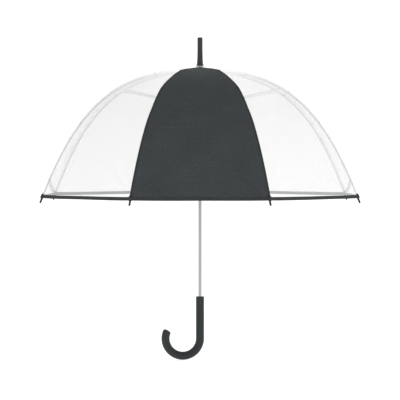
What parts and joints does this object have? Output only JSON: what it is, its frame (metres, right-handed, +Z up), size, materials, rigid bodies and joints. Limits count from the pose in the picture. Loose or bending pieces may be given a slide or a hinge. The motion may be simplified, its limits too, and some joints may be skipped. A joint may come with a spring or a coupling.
{
  "type": "dome umbrella",
  "caption": "Open manual dome umbrella: deep clear film canopy with one opaque front panel, dark bound hem, curved ribs and stretchers on a sliding runner, chrome shaft and crook handle.",
  "frame": {"origin": "on the shaft's axis, level with the lowest point of the crook handle, which is the middle of the bounding box's bottom", "axes": "+Z up the shaft to the ferrule, -Y to the opaque front panel, -X to the side that the crook turns to"},
  "size_m": [0.7628, 0.7628, 0.8],
  "materials": {
    "shaft_chrome": "polished, chrome plated steel tube",
    "frame_plastic": "moulded, satin",
    "wire": "drawn zinc plated wire",
    "ferrule_plastic": "moulded, satin",
    "washer_plastic": "translucent grey, glossy",
    "catch_steel": "pressed spring steel",
    "handle_rubber": "soft-touch coating, satin",
    "tip_plastic": "moulded, semi-gloss",
    "joint_steel": "pressed and zinc plated",
    "rib_fibre": "pale grey coated rod, satin",
    "stretcher_steel": "pale grey painted channel, satin",
    "dark_fabric": "plain-weave pongee, charcoal",
    "clear_film": "clear flexible film, glossy",
    "binding": "folded woven binding tape, charcoal"
  },
  "bodies": {
    "shaft": {"shaft_tube": "shaft_chrome", "crown": "frame_plastic", "crown_wire": "wire", "ferrule": "ferrule_plastic", "ferrule_washer": "washer_plastic", "stop_pin": "catch_steel", "handle": "handle_rubber"},
    "runner": {"runner": "frame_plastic", "runner_wire": "wire"},
    "upper_catch": {"upper_catch": "catch_steel"},
    "lower_catch": {"lower_catch": "catch_steel"},
    "rib_1": {"rib_1": "rib_fibre", "rib_tip_1": "tip_plastic", "rib_joint_1": "joint_steel"},
    "stretcher_1": {"stretcher_1": "stretcher_steel"},
    "rib_2": {"rib_2": "rib_fibre", "rib_tip_2": "tip_plastic", "rib_joint_2": "joint_steel"},
    "stretcher_2": {"stretcher_2": "stretcher_steel"},
    "rib_3": {"rib_3": "rib_fibre", "rib_tip_3": "tip_plastic", "rib_joint_3": "joint_steel"},
    "stretcher_3": {"stretcher_3": "stretcher_steel"},
    "rib_4": {"rib_4": "rib_fibre", "rib_tip_4": "tip_plastic", "rib_joint_4": "joint_steel"},
    "stretcher_4": {"stretcher_4": "stretcher_steel"},
    "rib_5": {"rib_5": "rib_fibre", "rib_tip_5": "tip_plastic", "rib_joint_5": "joint_steel"},
    "stretcher_5": {"stretcher_5": "stretcher_steel"},
    "rib_6": {"rib_6": "rib_fibre", "rib_tip_6": "tip_plastic", "rib_joint_6": "joint_steel"},
    "stretcher_6": {"stretcher_6": "stretcher_steel"},
    "rib_7": {"rib_7": "rib_fibre", "rib_tip_7": "tip_plastic", "rib_joint_7": "joint_steel"},
    "stretcher_7": {"stretcher_7": "stretcher_steel"},
    "rib_8": {"rib_8": "rib_fibre", "rib_tip_8": "tip_plastic", "rib_joint_8": "joint_steel"},
    "stretcher_8": {"stretcher_8": "stretcher_steel"},
    "panel_front": {"panel_front": "dark_fabric"},
    "hem_front": {"hem_front": "binding"},
    "panel_front_right": {"panel_front_right": "clear_film"},
    "hem_front_right": {"hem_front_right": "binding"},
    "panel_right": {"panel_right": "clear_film"},
    "hem_right": {"hem_right": "binding"},
    "panel_rear_right": {"panel_rear_right": "clear_film"},
    "hem_rear_right": {"hem_rear_right": "binding"},
    "panel_rear": {"panel_rear": "clear_film"},
    "hem_rear": {"hem_rear": "binding", "closing_strap": "dark_fabric"},
    "panel_rear_left": {"panel_rear_left": "clear_film"},
    "hem_rear_left": {"hem_rear_left": "binding"},
    "panel_left": {"panel_left": "clear_film"},
    "hem_left": {"hem_left": "binding"},
    "panel_front_left": {"panel_front_left": "clear_film"},
    "hem_front_left": {"hem_front_left": "binding"}
  },
  "joints": [
    {"name": "runner_slide", "type": "slide", "parent": "shaft", "child": "runner", "axis": [0, 0, 1], "range_m": [-0.27592, 0]},
    {"name": "upper_catch_press", "type": "slide", "parent": "shaft", "child": "upper_catch", "axis": [0, -1, 0], "range_m": [0, 0.0018], "stiffness_N_per_m": 800},
    {"name": "lower_catch_press", "type": "slide", "parent": "shaft", "child": "lower_catch", "axis": [0, -1, 0], "range_m": [0, 0.0018], "stiffness_N_per_m": 800},
    {"name": "rib_1_hinge", "type": "hinge", "parent": "shaft", "child": "rib_1", "pos_m": [0.00306, -0.00739, 0.7183], "axis": [0.9239, 0.3827, 0], "range_deg": [0, 50.5]},
    {"name": "stretcher_1_hinge", "type": "hinge", "parent": "rib_1", "child": "stretcher_1", "pos_m": [0.07841, -0.18929, 0.66826], "axis": [0.9239, 0.3827, 0], "range_deg": [-104.43, 0]},
    {"name": "rib_2_hinge", "type": "hinge", "parent": "shaft", "child": "rib_2", "pos_m": [0.00739, -0.00306, 0.7183], "axis": [0.3827, 0.9239, 0], "range_deg": [0, 50.5]},
    {"name": "stretcher_2_hinge", "type": "hinge", "parent": "rib_2", "child": "stretcher_2", "pos_m": [0.18929, -0.07841, 0.66826], "axis": [0.3827, 0.9239, 0], "range_deg": [-104.43, 0]},
    {"name": "rib_3_hinge", "type": "hinge", "parent": "shaft", "child": "rib_3", "pos_m": [0.00739, 0.00306, 0.7183], "axis": [-0.3827, 0.9239, 0], "range_deg": [0, 50.5]},
    {"name": "stretcher_3_hinge", "type": "hinge", "parent": "rib_3", "child": "stretcher_3", "pos_m": [0.18929, 0.07841, 0.66826], "axis": [-0.3827, 0.9239, 0], "range_deg": [-104.43, 0]},
    {"name": "rib_4_hinge", "type": "hinge", "parent": "shaft", "child": "rib_4", "pos_m": [0.00306, 0.00739, 0.7183], "axis": [-0.9239, 0.3827, 0], "range_deg": [0, 50.5]},
    {"name": "stretcher_4_hinge", "type": "hinge", "parent": "rib_4", "child": "stretcher_4", "pos_m": [0.07841, 0.18929, 0.66826], "axis": [-0.9239, 0.3827, 0], "range_deg": [-104.43, 0]},
    {"name": "rib_5_hinge", "type": "hinge", "parent": "shaft", "child": "rib_5", "pos_m": [-0.00306, 0.00739, 0.7183], "axis": [-0.9239, -0.3827, 0], "range_deg": [0, 50.5]},
    {"name": "stretcher_5_hinge", "type": "hinge", "parent": "rib_5", "child": "stretcher_5", "pos_m": [-0.07841, 0.18929, 0.66826], "axis": [-0.9239, -0.3827, 0], "range_deg": [-104.43, 0]},
    {"name": "rib_6_hinge", "type": "hinge", "parent": "shaft", "child": "rib_6", "pos_m": [-0.00739, 0.00306, 0.7183], "axis": [-0.3827, -0.9239, 0], "range_deg": [0, 50.5]},
    {"name": "stretcher_6_hinge", "type": "hinge", "parent": "rib_6", "child": "stretcher_6", "pos_m": [-0.18929, 0.07841, 0.66826], "axis": [-0.3827, -0.9239, 0], "range_deg": [-104.43, 0]},
    {"name": "rib_7_hinge", "type": "hinge", "parent": "shaft", "child": "rib_7", "pos_m": [-0.00739, -0.00306, 0.7183], "axis": [0.3827, -0.9239, 0], "range_deg": [0, 50.5]},
    {"name": "stretcher_7_hinge", "type": "hinge", "parent": "rib_7", "child": "stretcher_7", "pos_m": [-0.18929, -0.07841, 0.66826], "axis": [0.3827, -0.9239, 0], "range_deg": [-104.43, 0]},
    {"name": "rib_8_hinge", "type": "hinge", "parent": "shaft", "child": "rib_8", "pos_m": [-0.00306, -0.00739, 0.7183], "axis": [0.9239, -0.3827, 0], "range_deg": [0, 50.5]},
    {"name": "stretcher_8_hinge", "type": "hinge", "parent": "rib_8", "child": "stretcher_8", "pos_m": [-0.07841, -0.18929, 0.66826], "axis": [0.9239, -0.3827, 0], "range_deg": [-104.43, 0]},
    {"name": "panel_front_fold", "type": "hinge", "parent": "rib_8", "child": "panel_front", "pos_m": [0, -0.00866, 0.7183], "axis": [-0.6571, 0.7272, -0.1983], "range_deg": [0, 25.02], "deforming": ["panel_front"]},
    {"name": "hem_front_fold", "type": "hinge", "parent": "rib_1", "child": "hem_front", "pos_m": [0, -0.00866, 0.7183], "axis": [-0.6571, -0.7272, 0.1983], "range_deg": [0, 25.02], "deforming": ["hem_front"]},
    {"name": "panel_front_right_fold", "type": "hinge", "parent": "rib_1", "child": "panel_front_right", "pos_m": [0.00612, -0.00612, 0.7183], "axis": [-0.9789, 0.0496, -0.1983], "range_deg": [0, 25.02], "deforming": ["panel_front_right"]},
    {"name": "hem_front_right_fold", "type": "hinge", "parent": "rib_2", "child": "hem_front_right", "pos_m": [0.00612, -0.00612, 0.7183], "axis": [0.0496, -0.9789, 0.1983], "range_deg": [0, 25.02], "deforming": ["hem_front_right"]},
    {"name": "panel_right_fold", "type": "hinge", "parent": "rib_2", "child": "panel_right", "pos_m": [0.00866, 0, 0.7183], "axis": [-0.7272, -0.6571, -0.1983], "range_deg": [0, 25.02], "deforming": ["panel_right"]},
    {"name": "hem_right_fold", "type": "hinge", "parent": "rib_3", "child": "hem_right", "pos_m": [0.00866, 0, 0.7183], "axis": [0.7272, -0.6571, 0.1983], "range_deg": [0, 25.02], "deforming": ["hem_right"]},
    {"name": "panel_rear_right_fold", "type": "hinge", "parent": "rib_3", "child": "panel_rear_right", "pos_m": [0.00612, 0.00612, 0.7183], "axis": [-0.0496, -0.9789, -0.1983], "range_deg": [0, 25.02], "deforming": ["panel_rear_right"]},
    {"name": "hem_rear_right_fold", "type": "hinge", "parent": "rib_4", "child": "hem_rear_right", "pos_m": [0.00612, 0.00612, 0.7183], "axis": [0.9789, 0.0496, 0.1983], "range_deg": [0, 25.02], "deforming": ["hem_rear_right"]},
    {"name": "panel_rear_fold", "type": "hinge", "parent": "rib_4", "child": "panel_rear", "pos_m": [0, 0.00866, 0.7183], "axis": [0.6571, -0.7272, -0.1983], "range_deg": [0, 25.02], "deforming": ["panel_rear"]},
    {"name": "hem_rear_fold", "type": "hinge", "parent": "rib_5", "child": "hem_rear", "pos_m": [0, 0.00866, 0.7183], "axis": [0.6571, 0.7272, 0.1983], "range_deg": [0, 25.02], "deforming": ["hem_rear", "closing_strap"]},
    {"name": "panel_rear_left_fold", "type": "hinge", "parent": "rib_5", "child": "panel_rear_left", "pos_m": [-0.00612, 0.00612, 0.7183], "axis": [0.9789, -0.0496, -0.1983], "range_deg": [0, 25.02], "deforming": ["panel_rear_left"]},
    {"name": "hem_rear_left_fold", "type": "hinge", "parent": "rib_6", "child": "hem_rear_left", "pos_m": [-0.00612, 0.00612, 0.7183], "axis": [-0.0496, 0.9789, 0.1983], "range_deg": [0, 25.02], "deforming": ["hem_rear_left"]},
    {"name": "panel_left_fold", "type": "hinge", "parent": "rib_6", "child": "panel_left", "pos_m": [-0.00866, 0, 0.7183], "axis": [0.7272, 0.6571, -0.1983], "range_deg": [0, 25.02], "deforming": ["panel_left"]},
    {"name": "hem_left_fold", "type": "hinge", "parent": "rib_7", "child": "hem_left", "pos_m": [-0.00866, 0, 0.7183], "axis": [-0.7272, 0.6571, 0.1983], "range_deg": [0, 25.02], "deforming": ["hem_left"]},
    {"name": "panel_front_left_fold", "type": "hinge", "parent": "rib_7", "child": "panel_front_left", "pos_m": [-0.00612, -0.00612, 0.7183], "axis": [0.0496, 0.9789, -0.1983], "range_deg": [0, 25.02], "deforming": ["panel_front_left"]},
    {"name": "hem_front_left_fold", "type": "hinge", "parent": "rib_8", "child": "hem_front_left", "pos_m": [-0.00612, -0.00612, 0.7183], "axis": [-0.9789, -0.0496, 0.1983], "range_deg": [0, 25.02], "deforming": ["hem_front_left"]}
  ],
  "couplings": [
    {"joint": "rib_1_hinge", "follows": "runner_slide", "rad_per_m": -3.1943},
    {"joint": "stretcher_1_hinge", "follows": "runner_slide", "rad_per_m": 6.6057},
    {"joint": "rib_2_hinge", "follows": "runner_slide", "rad_per_m": -3.1943},
    {"joint": "stretcher_2_hinge", "follows": "runner_slide", "rad_per_m": 6.6057},
    {"joint": "rib_3_hinge", "follows": "runner_slide", "rad_per_m": -3.1943},
    {"joint": "stretcher_3_hinge", "follows": "runner_slide", "rad_per_m": 6.6057},
    {"joint": "rib_4_hinge", "follows": "runner_slide", "rad_per_m": -3.1943},
    {"joint": "stretcher_4_hinge", "follows": "runner_slide", "rad_per_m": 6.6057},
    {"joint": "rib_5_hinge", "follows": "runner_slide", "rad_per_m": -3.1943},
    {"joint": "stretcher_5_hinge", "follows": "runner_slide", "rad_per_m": 6.6057},
    {"joint": "rib_6_hinge", "follows": "runner_slide", "rad_per_m": -3.1943},
    {"joint": "stretcher_6_hinge", "follows": "runner_slide", "rad_per_m": 6.6057},
    {"joint": "rib_7_hinge", "follows": "runner_slide", "rad_per_m": -3.1943},
    {"joint": "stretcher_7_hinge", "follows": "runner_slide", "rad_per_m": 6.6057},
    {"joint": "rib_8_hinge", "follows": "runner_slide", "rad_per_m": -3.1943},
    {"joint": "stretcher_8_hinge", "follows": "runner_slide", "rad_per_m": 6.6057},
    {"joint": "panel_front_fold", "follows": "runner_slide", "rad_per_m": -1.5823},
    {"joint": "hem_front_fold", "follows": "runner_slide", "rad_per_m": -1.5823},
    {"joint": "panel_front_right_fold", "follows": "runner_slide", "rad_per_m": -1.5823},
    {"joint": "hem_front_right_fold", "follows": "runner_slide", "rad_per_m": -1.5823},
    {"joint": "panel_right_fold", "follows": "runner_slide", "rad_per_m": -1.5823},
    {"joint": "hem_right_fold", "follows": "runner_slide", "rad_per_m": -1.5823},
    {"joint": "panel_rear_right_fold", "follows": "runner_slide", "rad_per_m": -1.5823},
    {"joint": "hem_rear_right_fold", "follows": "runner_slide", "rad_per_m": -1.5823},
    {"joint": "panel_rear_fold", "follows": "runner_slide", "rad_per_m": -1.5823},
    {"joint": "hem_rear_fold", "follows": "runner_slide", "rad_per_m": -1.5823},
    {"joint": "panel_rear_left_fold", "follows": "runner_slide", "rad_per_m": -1.5823},
    {"joint": "hem_rear_left_fold", "follows": "runner_slide", "rad_per_m": -1.5823},
    {"joint": "panel_left_fold", "follows": "runner_slide", "rad_per_m": -1.5823},
    {"joint": "hem_left_fold", "follows": "runner_slide", "rad_per_m": -1.5823},
    {"joint": "panel_front_left_fold", "follows": "runner_slide", "rad_per_m": -1.5823},
    {"joint": "hem_front_left_fold", "follows": "runner_slide", "rad_per_m": -1.5823}
  ]
}
